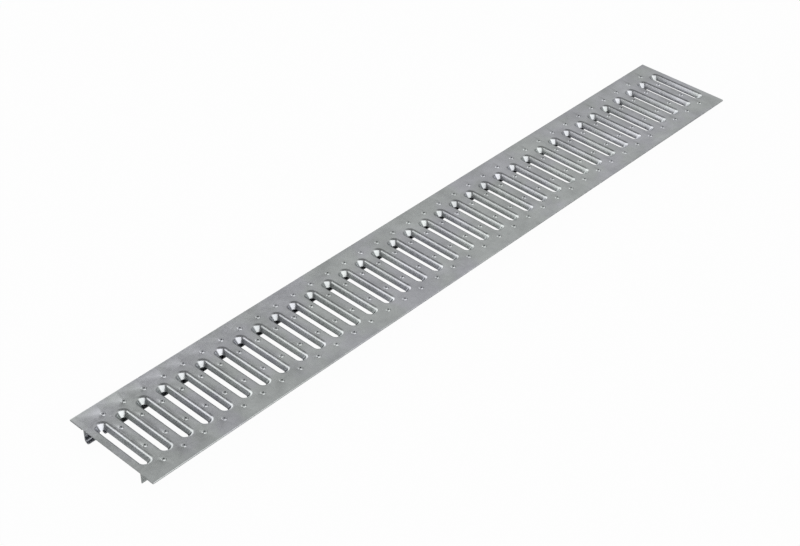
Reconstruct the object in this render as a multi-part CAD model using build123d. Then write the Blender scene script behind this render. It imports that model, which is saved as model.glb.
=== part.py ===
from build123d import *

import os
from math import atan2, cos, degrees, pi, radians, sin, tan

# Channel drain grate: one galvanised sheet, pierced, drawn and folded.
# The origin is under the middle of the grate, level with the leg curls it stands on.
# X runs along the grate, Y across it, and Z is up.

# Sheet and overall size, in millimetres
length = 1000.0
width = 136.0
height = 20.0  # from the leg curls to the flat of the top, nubs left out
sheet = 1.2

# Folded long edges
hem_gap = 0.2  # left inside the pressed hem
ledge = 21.0  # strip outside each leg, which rests on the channel
leg_bend = 1.0  # radius inside the bend at the top of each leg
curl_radius = 4.0  # outside of the curl at the foot of each leg
leg_setback = 1.0  # legs stop short of the ends of the top

# Relief cut in the curls beside the ends
relief_start = 13.0  # from the end of the top, where a tab of curl is kept
relief_end = 23.5  # from the end of the top
relief_clearance = 1.0  # how far the cutter stands past the curl

# Drawn slots across the grate
slot_pitch = 27.7
slot_width = 19.0  # across the start of the rolled edge
slot_end_land = 15.0  # least distance from the end of the top to a slot's centre line
slot_leg_gap = 1.8  # from a leg's inner face to the start of the rolled edge
roll_radius = 4.0
collar_slope = 25.0  # degrees that the collar leans in from upright
collar_depth = 7.3  # from the top to the collar's inner lower edge
roll_flats = 2  # flats that make the roll on top
end_flats = 6  # flats that make each round end, few because 36 slots repeat them

# Pierced nubs, four to each bar between two slots
nub_inner_row = 19.2  # from the centre line
nub_outer_row = 19.0  # from the long edge
nub_base = 6.0  # across the foot
nub_rim = 3.0  # across the raised rim
nub_height = 0.9
nub_sides = 5

# Places that follow from the sizes
half_width = width / 2
hem_radius = sheet + hem_gap / 2
leg_face = half_width - ledge
flange_top = height - sheet - hem_gap
flange_bottom = flange_top - sheet
slot_half = slot_width / 2
slot_reach = leg_face - sheet - slot_leg_gap - slot_half  # centre line to the centre of a round end
slot_count = int((length - 2 * slot_end_land) / slot_pitch) + 1
slot_places = [(i - (slot_count - 1) / 2) * slot_pitch for i in range(slot_count)]
bar_places = [x + slot_pitch / 2 for x in slot_places[:-1]]


def half_skin():
    """Outer skin of the sheet from the middle of the top round to the tip of one curl."""
    top = Line((0, height), (half_width - hem_radius, height))
    hem = JernArc(top @ 1, top % 1, hem_radius, -180)
    flange = Line(hem @ 1, (leg_face + leg_bend, flange_bottom))
    bend = JernArc(flange @ 1, flange % 1, leg_bend, 90)
    leg = Line(bend @ 1, (leg_face, curl_radius))
    curl = JernArc(leg @ 1, leg % 1, curl_radius, -180)
    return [top, hem, flange, bend, leg, curl]


def folded_sheet():
    """Top, hems, legs and curls as one bent sheet, before it is slotted."""
    skin = Wire(half_skin())
    half = make_face(skin.offset_2d(-sheet, side=Side.RIGHT))
    section = Plane.YZ * (half + half.mirror(Plane.YZ))
    folded = extrude(section, amount=length / 2, both=True)
    return folded - leg_end_cutters() - relief_cutters()


def leg_end_cutters():
    """Blocks that shorten the legs below the top at both ends."""
    cut_width = 2 * (leg_face + leg_bend)
    cut_top = flange_top + hem_gap / 2
    block = Box(2 * leg_setback, cut_width, 2 * cut_top)
    return [Pos(side * length / 2, 0, 0) * block for side in (-1, 1)]


def relief_cutters():
    """Blocks that take the curl off: behind a tab on one leg, and up to the end on the other."""
    cutters = []
    for end in (-1, 1):
        for side, start in ((-end, relief_start), (end, -relief_clearance)):
            cut_length = relief_end - start
            block = Box(cut_length, 2 * curl_radius + 2 * relief_clearance, 2 * curl_radius)
            x = end * (length / 2 - start - cut_length / 2)
            cutters.append(Pos(x, side * (leg_face - curl_radius), 0) * block)
    return cutters


def slot_outline(half_across):
    """Points of a slot's outline with flats for its round ends, from the end at +Y round to the start."""
    turns = [pi * i / end_flats for i in range(end_flats + 1)]
    far = [(half_across * cos(a), slot_reach + half_across * sin(a)) for a in turns]
    near = [(-x, -y) for x, y in far]
    return far + near


def collar_section():
    """Rolled edge and sloping collar in the XZ plane, at the side of a slot."""
    lean = radians(collar_slope)
    turn = pi / 2 - lean
    turns = [turn * i / roll_flats for i in range(roll_flats + 1)]
    roll = [(slot_half - roll_radius * sin(a), height - roll_radius * (1 - cos(a))) for a in turns]
    drop = roll[-1][1] - (height - collar_depth)
    lip = (roll[-1][0] - drop * tan(lean), height - collar_depth)
    under_lip = (lip[0] + sheet * cos(lean), lip[1] - sheet * sin(lean))
    under_roll = (roll[-1][0] + sheet * cos(lean), roll[-1][1] - sheet * sin(lean))
    root = (slot_half, height - sheet)
    return Plane.XZ * make_face(Polyline(*roll, lip, under_lip, under_roll, root, close=True))


def collar():
    """One slot's drawn collar, swept round the slot's outline."""
    rim = [(slot_half, 0), *slot_outline(slot_half), (slot_half, 0)]
    return sweep(collar_section(), path=Polyline(*rim), transition=Transition.RIGHT)


def nub():
    """Raised rim round a pointed pit, standing on the top."""
    step_in = (nub_base - nub_rim) / 2 * cos(pi / nub_sides)
    foot = RegularPolygon(nub_base / 2, nub_sides)
    cone = extrude(foot, amount=nub_height, taper=degrees(atan2(step_in, nub_height)))
    rim = Pos(0, 0, nub_height) * RegularPolygon(nub_rim / 2, nub_sides)
    return cone - loft([Vertex(0, 0, 0), rim.face()], ruled=True)


def grate():
    """The finished grate as one solid."""
    hole = extrude(make_face(Polyline(*slot_outline(slot_half), close=True)), amount=sheet)
    slots = [Pos(x, 0, height - sheet) * hole for x in slot_places]
    one_collar = collar()
    collars = [Pos(x, 0, 0) * one_collar for x in slot_places]
    one_nub = Pos(0, 0, height) * nub()
    rows = [side * y for side in (-1, 1) for y in (nub_inner_row, half_width - nub_outer_row)]
    nubs = [Pos(x, y, 0) * one_nub for x in bar_places for y in rows]
    return (folded_sheet() - slots).fuse(*collars, *nubs)


if __name__ == "__main__":
    os.makedirs("parts", exist_ok=True)
    export_step(grate(), "parts/grate.step")
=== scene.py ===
from math import cos, pi, radians, sin, tan

import bmesh
import bpy
from mathutils import Matrix, Quaternion, Vector
from mathutils.kdtree import KDTree


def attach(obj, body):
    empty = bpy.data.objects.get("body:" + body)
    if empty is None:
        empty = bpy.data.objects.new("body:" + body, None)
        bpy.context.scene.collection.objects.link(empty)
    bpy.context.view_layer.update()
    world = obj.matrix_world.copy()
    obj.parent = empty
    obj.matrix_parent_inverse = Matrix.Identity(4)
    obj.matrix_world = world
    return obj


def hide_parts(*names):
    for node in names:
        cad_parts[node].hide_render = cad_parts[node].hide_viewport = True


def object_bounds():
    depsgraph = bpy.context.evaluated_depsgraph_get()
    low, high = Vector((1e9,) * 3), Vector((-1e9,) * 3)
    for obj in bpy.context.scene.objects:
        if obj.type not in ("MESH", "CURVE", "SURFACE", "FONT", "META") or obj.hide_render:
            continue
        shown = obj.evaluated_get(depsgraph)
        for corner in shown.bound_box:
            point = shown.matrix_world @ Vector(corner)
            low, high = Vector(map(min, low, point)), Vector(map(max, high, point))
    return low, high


# Channel drain grate: the folded and slotted sheet in fine form, its galvanised finish,
# the camera, the floor and the light. Lengths are in metres and angles in degrees.

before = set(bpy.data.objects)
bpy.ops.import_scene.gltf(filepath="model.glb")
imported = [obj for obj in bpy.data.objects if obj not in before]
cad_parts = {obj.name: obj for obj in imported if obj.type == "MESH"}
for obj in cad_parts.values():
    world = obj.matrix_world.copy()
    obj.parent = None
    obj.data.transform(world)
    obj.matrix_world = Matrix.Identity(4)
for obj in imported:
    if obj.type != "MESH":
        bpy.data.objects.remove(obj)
cadLow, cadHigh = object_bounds()
print("frame loaded:", sorted(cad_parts))

nubs = {
    "innerRow": 0.0192,  # from the centre line
    "outerRow": 0.019,  # from the long edge
    "rowShift": -0.0003,  # of all the rows, across the grate
    "profile": (  # radius and height over the top, from the rim of the round hole in to the pit's floor
        (0.0036, 0), (0.003, 0.00016), (0.00252, 0.00084), (0.002, 0.0008), (0.0016, 0.0009),
        (0.0011, 0.00088), (0.001, -0.0005), (0, -0.0006)),
    "dent": ((0, 0.0004), (0.0014, 0.0004), (0.0026, 0), (0.0036, 0)),  # the same over the under face
    "roundSteps": 20,  # a multiple of four, so that nub and hole have the same corners
}

sheet = {
    "thickness": 0.0012,
    "hemGap": 0.0002,  # between the top and the part folded under it
    "ledge": 0.021,  # from the long edge in to the leg
    "legBend": 0.001,
    "curlRadius": 0.004,
    "legSetback": 0.001,  # of the legs from the two ends
    "reliefStart": 0.013,  # where the cut in a curl starts and ends, from the end of the grate
    "reliefEnd": 0.0235,
    "hemSteps": 10,
    "bendSteps": 5,
    "curlSteps": 14,
    "sharpAngle": 28,  # past this an edge isn't shaded smooth
}

slots = {
    "pitch": 0.0277,
    "width": 0.019,
    "endLand": 0.015,  # least distance from the last slot's middle to the end
    "legGap": 0.0018,  # from a slot's end to the inside of the leg
    "rollRadius": 0.004,
    "slope": 25,  # of the collar's long walls, inwards from upright
    "depth": 0.0073,
    "endSlope": 37,  # the same at its two ends
    "rollSteps": 7,
    "endSteps": 16,
    "apron": 0.0002,  # of level sheet round the roll
    "margin": 0.00065,  # from the roll to the cell's side
    "offset": 0.0003,  # of the whole row of slots and nubs towards +X
}

# Places that follow from the frame and the sizes
length = cadHigh.x - cadLow.x
halfWidth = cadHigh.y
topLevel = cadHigh.z - max(height for radius, height in nubs["profile"])
nubHole = nubs["profile"][0][0]
hemRadius = sheet["thickness"] + sheet["hemGap"] / 2
flatHalf = halfWidth - hemRadius
flangeLevel = topLevel - 2 * hemRadius
legFace = halfWidth - sheet["ledge"]
slotHalf = slots["width"] / 2
slotReach = legFace - sheet["thickness"] - slots["legGap"] - slotHalf
slotCount = int((length - 2 * slots["endLand"]) / slots["pitch"]) + 1
firstSlot = slots["offset"] - (slotCount - 1) / 2 * slots["pitch"]
quarterTurn, halfTurn = 90, 180
tiny = 1e-6  # points nearer than this are one point


def vertsIn(geom):
    return [item for item in geom if isinstance(item, bmesh.types.BMVert)]


def edgesIn(geom):
    return [item for item in geom if isinstance(item, bmesh.types.BMEdge)]


def addedSince(known, bm):
    return [vert for vert in bm.verts if vert not in known]


def addPoint(bm, start, move):
    point = bmesh.ops.extrude_vert_indiv(bm, verts=[start])["verts"][0]
    bmesh.ops.translate(bm, verts=[point], vec=move)
    return point


def sweepRound(bm, geom, centre, axis, angle, steps):  # points become lines, lines become faces
    swept = bmesh.ops.spin(bm, geom=geom, cent=centre, axis=axis, angle=radians(angle), steps=steps)
    return swept["geom_last"]


def sweepStraight(bm, edges, move):
    drawn = bmesh.ops.extrude_edge_only(bm, edges=edges)["geom"]
    ends = set(vertsIn(drawn))
    bmesh.ops.translate(bm, verts=list(ends), vec=move)
    return [edge for edge in edgesIn(drawn) if set(edge.verts) <= ends]


def meshFrom(bm, name):
    mesh = bpy.data.meshes.new(name)
    bm.to_mesh(mesh)
    bm.free()
    return mesh


def addCollar(bm):  # one slot's rolled edge and sloping wall, round the origin
    roll, rollTurn = slots["rollRadius"], quarterTurn - slots["slope"]
    outer = bmesh.ops.create_vert(bm, co=(slotHalf + slots["apron"], slotReach, topLevel))["vert"][0]
    brink = addPoint(bm, outer, (-slots["apron"], 0, 0))
    rollCentre = (slotHalf, slotReach, topLevel - roll)
    foot = vertsIn(sweepRound(bm, [brink], rollCentre, (0, -1, 0), rollTurn, slots["rollSteps"]))[0]
    drop = slots["depth"] - roll * (1 - cos(radians(rollTurn)))
    addPoint(bm, foot, (-drop * tan(radians(slots["slope"])), 0, -drop))
    line = list(bm.edges)
    for side in (1, -1):
        line = sweepRound(bm, line, (0, side * slotReach, 0), (0, 0, 1), halfTurn, slots["endSteps"])
        line = sweepStraight(bm, edgesIn(line), (0, -side * 2 * slotReach, 0))
    bmesh.ops.remove_doubles(bm, verts=bm.verts, dist=tiny)
    leanMore = drop * (tan(radians(slots["endSlope"])) - tan(radians(slots["slope"])))
    mouth = [vert for vert in bm.verts if vert.co.z < topLevel - slots["depth"] + tiny]
    for side in (1, -1):
        endVerts = [vert for vert in mouth if vert.co.y * side > slotReach - tiny]
        bmesh.ops.translate(bm, verts=endVerts, vec=(0, -side * leanMore, 0))


def makeNub():  # a rim pressed up round a pit, with the dent below: it fills a round hole
    bm = bmesh.new()
    for level, line in ((topLevel, nubs["profile"]), (topLevel - sheet["thickness"], nubs["dent"])):
        point = bmesh.ops.create_vert(bm, co=(line[0][0], 0, level + line[0][1]))["vert"][0]
        for before, after in zip(line, line[1:]):
            point = addPoint(bm, point, (after[0] - before[0], 0, after[1] - before[1]))
    bmesh.ops.spin(bm, geom=list(bm.edges), cent=(0, 0, 0), axis=(0, 0, 1), angle=2 * pi,
                   steps=nubs["roundSteps"], use_merge=True)
    bmesh.ops.remove_doubles(bm, verts=bm.verts, dist=tiny)
    bmesh.ops.recalc_face_normals(bm, faces=bm.faces)
    return meshFrom(bm, "nub")


def nubPlaces(x):  # the four nubs of the bar whose middle is at x
    rows = (nubs["innerRow"], halfWidth - nubs["outerRow"])
    return [(x, side * row + nubs["rowShift"]) for side in (1, -1) for row in rows]


def makeCell(withNubs):  # one slot and the level sheet round it, with the bar beside it where it has nubs
    bm = bmesh.new()
    addCollar(bm)
    left = -slotHalf - slots["margin"]
    right = -left
    if withNubs:
        right = left + slots["pitch"]
        for x, y in nubPlaces(slots["pitch"] / 2):
            bmesh.ops.create_circle(bm, segments=nubs["roundSteps"], radius=nubHole,
                                    matrix=Matrix.Translation((x, y, topLevel)))
    border = bmesh.ops.create_grid(bm, x_segments=1, y_segments=1, size=0.5)["verts"]  # a unit square
    bmesh.ops.delete(bm, geom=list(border[0].link_faces), context="FACES_ONLY")
    bmesh.ops.scale(bm, verts=border, vec=(right - left, 2 * flatHalf, 1))
    bmesh.ops.translate(bm, verts=border, vec=((left + right) / 2, 0, topLevel))
    openEdges = []
    for edge in bm.edges:
        atTop = min(vert.co.z for vert in edge.verts) > topLevel - tiny
        if not edge.link_faces or (edge.is_boundary and atTop):
            openEdges.append(edge)
    bmesh.ops.triangle_fill(bm, edges=openEdges, use_beauty=True, normal=(0, 0, 1))
    return meshFrom(bm, "cell")


def makeTop(barCell, lastCell):  # all the cells side by side, with a plain strip at each end
    bm = bmesh.new()
    for number in range(slotCount):
        known = set(bm.verts)
        bm.from_mesh(barCell if number < slotCount - 1 else lastCell)
        slotAt = firstSlot + number * slots["pitch"]
        bmesh.ops.translate(bm, verts=addedSince(known, bm), vec=(slotAt, 0, 0))
    bmesh.ops.remove_doubles(bm, verts=bm.verts, dist=tiny)
    lastSlot = firstSlot + (slotCount - 1) * slots["pitch"]
    for side, outerSlot in ((1, lastSlot), (-1, firstSlot)):
        sideAt = outerSlot + side * (slotHalf + slots["margin"])
        ends = [edge for edge in bm.edges if all(abs(vert.co.x - sideAt) < tiny for vert in edge.verts)]
        sweepStraight(bm, ends, (side * length / 2 - sideAt, 0, 0))
    return bm


def foldSides(bm):  # hem, ledge, leg and curl along each long edge
    curl, bend = sheet["curlRadius"], sheet["legBend"]
    bendAt = legFace + bend
    for side in (1, -1):
        axis = (side, 0, 0)
        hemCentre = (0, side * flatHalf, topLevel - hemRadius)
        bendCentre = (0, side * bendAt, flangeLevel - bend)
        curlCentre = (0, side * (legFace - curl), curl)
        edges = [
            edge for edge in bm.edges
            if all(abs(vert.co.y - side * flatHalf) < tiny for vert in edge.verts)]
        edges = edgesIn(sweepRound(bm, edges, hemCentre, axis, -halfTurn, sheet["hemSteps"]))
        edges = sweepStraight(bm, edges, (0, side * (bendAt - flatHalf), 0))
        edges = edgesIn(sweepRound(bm, edges, bendCentre, axis, quarterTurn, sheet["bendSteps"]))
        edges = sweepStraight(bm, edges, (0, 0, curl - flangeLevel + bend))
        sweepRound(bm, edges, curlCentre, axis, -halfTurn, sheet["curlSteps"])


def cutAcross(bm, faces, x):
    geom = list(faces) + list({edge for face in faces for edge in face.edges})
    geom += list({vert for face in faces for vert in face.verts})
    bmesh.ops.bisect_plane(bm, geom=geom, plane_co=(x, 0, 0), plane_no=(1, 0, 0), dist=tiny)


def trimLegs(bm):  # legs stop short of the ends, and the curls are relieved beside them
    bendAt, curl = legFace + sheet["legBend"], sheet["curlRadius"]

    def legFaces(level, side=0):  # the faces below a level, on one side or on both
        return [
            face for face in bm.faces
            if all(vert.co.z < level + tiny and abs(vert.co.y) < bendAt + tiny for vert in face.verts)
            and face.calc_center_median().y * side >= 0
        ]

    for end in (-1, 1):
        legEnd = length / 2 - sheet["legSetback"]
        cutAcross(bm, legFaces(flangeLevel), end * legEnd)
        past = [face for face in legFaces(flangeLevel) if face.calc_center_median().x * end > legEnd]
        bmesh.ops.delete(bm, geom=past, context="FACES")
        for side, start in ((-end, sheet["reliefStart"]), (end, 0)):
            outer, inner = length / 2 - start, length / 2 - sheet["reliefEnd"]
            for cutAt in (outer, inner):
                cutAcross(bm, legFaces(curl, side), end * cutAt)
            relief = [
                face for face in legFaces(curl, side)
                if inner < face.calc_center_median().x * end < outer]
            bmesh.ops.delete(bm, geom=relief, context="FACES")


def fillNubs(bm, nub):  # the walls that the thickness gave each round hole go, and a nub takes its place
    places = []
    for number in range(slotCount - 1):
        places += nubPlaces(firstSlot + (number + 0.5) * slots["pitch"])
    near = KDTree(len(places))
    for index, (x, y) in enumerate(places):
        near.insert((x, y, 0), index)
    near.balance()
    walls = []
    for face in bm.faces:
        centre = face.calc_center_median()
        distance = near.find((centre.x, centre.y, 0))[2]
        if distance < nubHole and centre.z > flangeLevel - sheet["thickness"]:
            walls.append(face)
    bmesh.ops.delete(bm, geom=walls, context="FACES")
    for x, y in places:
        known = set(bm.verts)
        bm.from_mesh(nub)
        bmesh.ops.translate(bm, verts=addedSince(known, bm), vec=(x, y, 0))
    bmesh.ops.remove_doubles(bm, verts=bm.verts, dist=tiny)


def faceUp(bm):  # turns the whole sheet over if its top face looks down
    bmesh.ops.recalc_face_normals(bm, faces=bm.faces)
    level = [face for face in bm.faces if face.calc_center_median().z > topLevel - tiny]
    if max(level, key=lambda face: face.calc_area()).normal.z < 0:
        bmesh.ops.reverse_faces(bm, faces=bm.faces)


def makeGrate():
    nub, barCell, lastCell = makeNub(), makeCell(True), makeCell(False)
    bm = makeTop(barCell, lastCell)
    foldSides(bm)
    trimLegs(bm)
    faceUp(bm)
    bmesh.ops.solidify(bm, geom=bm.faces, thickness=sheet["thickness"])
    fillNubs(bm, nub)
    for face in bm.faces:
        face.smooth = True
    for used in (nub, barCell, lastCell):
        bpy.data.meshes.remove(used)
    mesh = meshFrom(bm, "grateSheet")
    mesh.set_sharp_from_angle(angle=radians(sheet["sharpAngle"]))
    grate = bpy.data.objects.new("grateSheet", mesh)
    bpy.context.scene.collection.objects.link(grate)
    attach(grate, "root")
    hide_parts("grate")
    return grate


grate = makeGrate()
grate.data.calc_loop_triangles()
print("grate made:", len(grate.data.loop_triangles), "triangles")


class Wire:  # an output socket that takes part in sums: each operator adds its Math node
    def __init__(self, tree, socket):
        self.tree, self.socket = tree, socket

    def join(self, operation, first, second):
        node = self.tree.nodes.new("ShaderNodeMath")
        node.operation = operation
        plug(self.tree, node.inputs[0], first)
        plug(self.tree, node.inputs[1], second)
        return Wire(self.tree, node.outputs[0])

    def __add__(self, other):
        return self.join("ADD", self, other)

    def __sub__(self, other):
        return self.join("SUBTRACT", self, other)

    def __rsub__(self, other):
        return self.join("SUBTRACT", other, self)

    def __mul__(self, other):
        return self.join("MULTIPLY", self, other)

    __radd__ = __add__
    __rmul__ = __mul__


def plug(tree, socket, value):
    if isinstance(value, Wire):
        tree.links.new(value.socket, socket)
    else:
        socket.default_value = value


class Finish:  # a node tree in the making
    def __init__(self, owner):
        owner.use_nodes = True
        self.tree = owner.node_tree
        self.tree.nodes.clear()

    def add(self, kind, settings, sockets, out=0):  # settings first, because they change the sockets
        node = self.tree.nodes.new(kind)
        for name, value in settings.items():
            setattr(node, name, value)
        for name, value in sockets.items():
            plug(self.tree, node.inputs[name], value)
        return Wire(self.tree, node.outputs[out]) if node.outputs else None

    def mapRange(self, value, low, high, toLow=0, toHigh=1):
        sockets = {"Value": value, "From Min": low, "From Max": high, "To Min": toLow, "To Max": toHigh}
        return self.add("ShaderNodeMapRange", {"interpolation_type": "SMOOTHSTEP"}, sockets)

    def noise(self, place, scale, detail, roughness):
        sockets = {"Vector": place, "Scale": scale, "Detail": detail, "Roughness": roughness}
        return self.add("ShaderNodeTexNoise", {}, sockets)


zinc = {
    "cool": (0.504, 0.512, 0.540, 1),
    "warm": (0.503, 0.526, 0.520, 1),
    "metallic": 1,
    "roughness": 0.27,
    "cloud": (14, 4, 0.6),  # scale, detail and roughness of a noise: wide drifts of tint and gloss
    "cloudEdges": (0.4, 0.6),  # the noise levels at which the zinc is all cool and all warm
    "cloudGloss": 0.15,
    "mottle": (38, 4, 0.6),  # dull blotches some 25 mm wide
    "mottleContrast": 0.6,
    "spangleScale": 300,  # crystals some 3 mm wide
    "spangleContrast": 0.1,
    "spangleGloss": 0.08,
    "grain": (900, 2, 0.5),
    "grainContrast": 0.14,
    "middle": 0.5,  # the level round which noise and spangle vary
}


def makeZinc():
    material = bpy.data.materials.new("galvanisedSteel")
    make = Finish(material)
    place = make.add("ShaderNodeTexCoord", {}, {}, "Object")
    cloud = make.noise(place, *zinc["cloud"])
    mottle = make.noise(place, *zinc["mottle"])
    grain = make.noise(place, *zinc["grain"])
    cells = {"Vector": place, "Scale": zinc["spangleScale"]}
    spangle = make.add("ShaderNodeTexVoronoi", {}, cells, "Color")
    flake = make.add("ShaderNodeSeparateColor", {}, {"Color": spangle})
    share = make.mapRange(cloud, *zinc["cloudEdges"])
    tints = {0: share, 6: zinc["cool"], 7: zinc["warm"]}  # the colour mix's factor, A and B
    tint = make.add("ShaderNodeMix", {"data_type": "RGBA"}, tints, 2)
    shade = 1 + (flake - zinc["middle"]) * zinc["spangleContrast"]
    shade = shade + (grain - zinc["middle"]) * zinc["grainContrast"]
    shade = shade + (mottle - zinc["middle"]) * zinc["mottleContrast"]
    colour = make.add("ShaderNodeVectorMath", {"operation": "SCALE"}, {0: tint, "Scale": shade})
    roughness = zinc["roughness"] + (flake - zinc["middle"]) * zinc["spangleGloss"]
    roughness = roughness + (cloud - zinc["middle"]) * zinc["cloudGloss"]
    surface = {"Base Color": colour, "Metallic": zinc["metallic"], "Roughness": roughness}
    shader = make.add("ShaderNodeBsdfPrincipled", {}, surface)
    make.add("ShaderNodeOutputMaterial", {}, {"Surface": shader})
    return material


grate.data.materials.append(makeZinc())
print("finish made:", grate.data.materials[0].name)

view = {
    "place": (-1.1823, -1.0473, 1.1795),  # from the middle of the top
    "forward": (0.57497, 0.53965, -0.61497),
    "roll": 0.21,
    "focal": 1637.9,  # in pixels of the photograph
    "photoWidth": 800,
    "sensor": 36,  # in millimetres
}


def makeCamera():
    data = bpy.data.cameras.new("camera")
    data.sensor_width = view["sensor"]
    data.lens = view["sensor"] * view["focal"] / view["photoWidth"]
    camera = bpy.data.objects.new("camera", data)
    bpy.context.scene.collection.objects.link(camera)
    camera.location = Vector(view["place"]) + Vector((0, 0, topLevel))
    aim = Vector(view["forward"]).to_track_quat("-Z", "Y")
    camera.rotation_euler = (aim @ Quaternion((0, 0, 1), radians(view["roll"]))).to_euler()
    bpy.context.scene.camera = camera


makeCamera()
print("camera placed:", [round(value, 3) for value in bpy.context.scene.camera.location])

floorLook = {
    "halfSize": 20,
    "colour": (0.8, 0.8, 0.8, 1),
    "whiteSeen": 0.97,  # share of plain white that the camera sees: the rest shows the shadow
    "whiteMirrored": 0.02,  # the same for what metal mirrors
}


def makeFloor():
    bm = bmesh.new()
    bmesh.ops.create_grid(bm, x_segments=1, y_segments=1, size=floorLook["halfSize"])
    floor = bpy.data.objects.new("floor", meshFrom(bm, "floor"))
    bpy.context.scene.collection.objects.link(floor)
    material = bpy.data.materials.new("paleFloor")
    make = Finish(material)
    share = make.add("ShaderNodeLightPath", {}, {}, "Is Camera Ray") * floorLook["whiteSeen"]
    for kind in ("Is Glossy Ray", "Is Transmission Ray"):
        share = share + make.add("ShaderNodeLightPath", {}, {}, kind) * floorLook["whiteMirrored"]
    matt = make.add("ShaderNodeBsdfDiffuse", {}, {"Color": floorLook["colour"]})
    white = make.add("ShaderNodeEmission", {}, {"Color": (1, 1, 1, 1), "Strength": 1})
    mixed = make.add("ShaderNodeMixShader", {}, {0: share, 1: matt, 2: white})
    make.add("ShaderNodeOutputMaterial", {}, {"Surface": mixed})
    floor.data.materials.append(material)


makeFloor()
print("floor laid")

light = {
    "allRound": 0.30,  # strength of the light that comes from everywhere
    # A box of light is strong to "full" each side of its turn from +X, and gone at "edge".
    # It comes up between the two heights of "rise" and goes out between those of "fall".
    "boxes": (
        {"turn": 108, "full": 36.5, "edge": 50.5, "rise": (-20, -10), "fall": (33, 46), "strength": 1.9},
        {"turn": -112, "full": 44, "edge": 68, "rise": (-20, -10), "fall": (35, 45), "strength": 2.0},
        {"turn": -5, "full": 50, "edge": 78, "rise": (5, 30), "fall": (58, 74), "strength": 0.56},
        # the last one takes light away, low down towards +X
        {"turn": -5, "full": 55, "edge": 75, "rise": (-90, -89), "fall": (2, 16), "strength": -0.18},
    ),
}


def makeWorld():
    world = bpy.data.worlds.new("world")
    make = Finish(world)
    toSky = make.add("ShaderNodeTexCoord", {}, {}, "Generated")
    height = make.add("ShaderNodeSeparateXYZ", {}, {0: toSky}, "Z")
    flat = make.add("ShaderNodeVectorMath", {"operation": "MULTIPLY"}, {0: toSky, 1: (1, 1, 0)})
    level = make.add("ShaderNodeVectorMath", {"operation": "NORMALIZE"}, {0: flat})
    total = light["allRound"]
    for box in light["boxes"]:
        turn = radians(box["turn"])
        towards = {0: level, 1: (cos(turn), sin(turn), 0)}
        along = make.add("ShaderNodeVectorMath", {"operation": "DOT_PRODUCT"}, towards, "Value")
        across = make.mapRange(along, cos(radians(box["edge"])), cos(radians(box["full"])))
        riseFrom, riseTo = (sin(radians(angle)) for angle in box["rise"])
        fallFrom, fallTo = (sin(radians(angle)) for angle in box["fall"])
        upright = make.mapRange(height, riseFrom, riseTo) * make.mapRange(height, fallFrom, fallTo, 1, 0)
        total = total + across * upright * box["strength"]
    glow = make.add("ShaderNodeBackground", {}, {"Strength": total})
    make.add("ShaderNodeOutputWorld", {}, {"Surface": glow})
    bpy.context.scene.world = world
    bpy.context.scene.view_settings.view_transform = "Standard"


makeWorld()
print("light set:", len(light["boxes"]), "boxes")
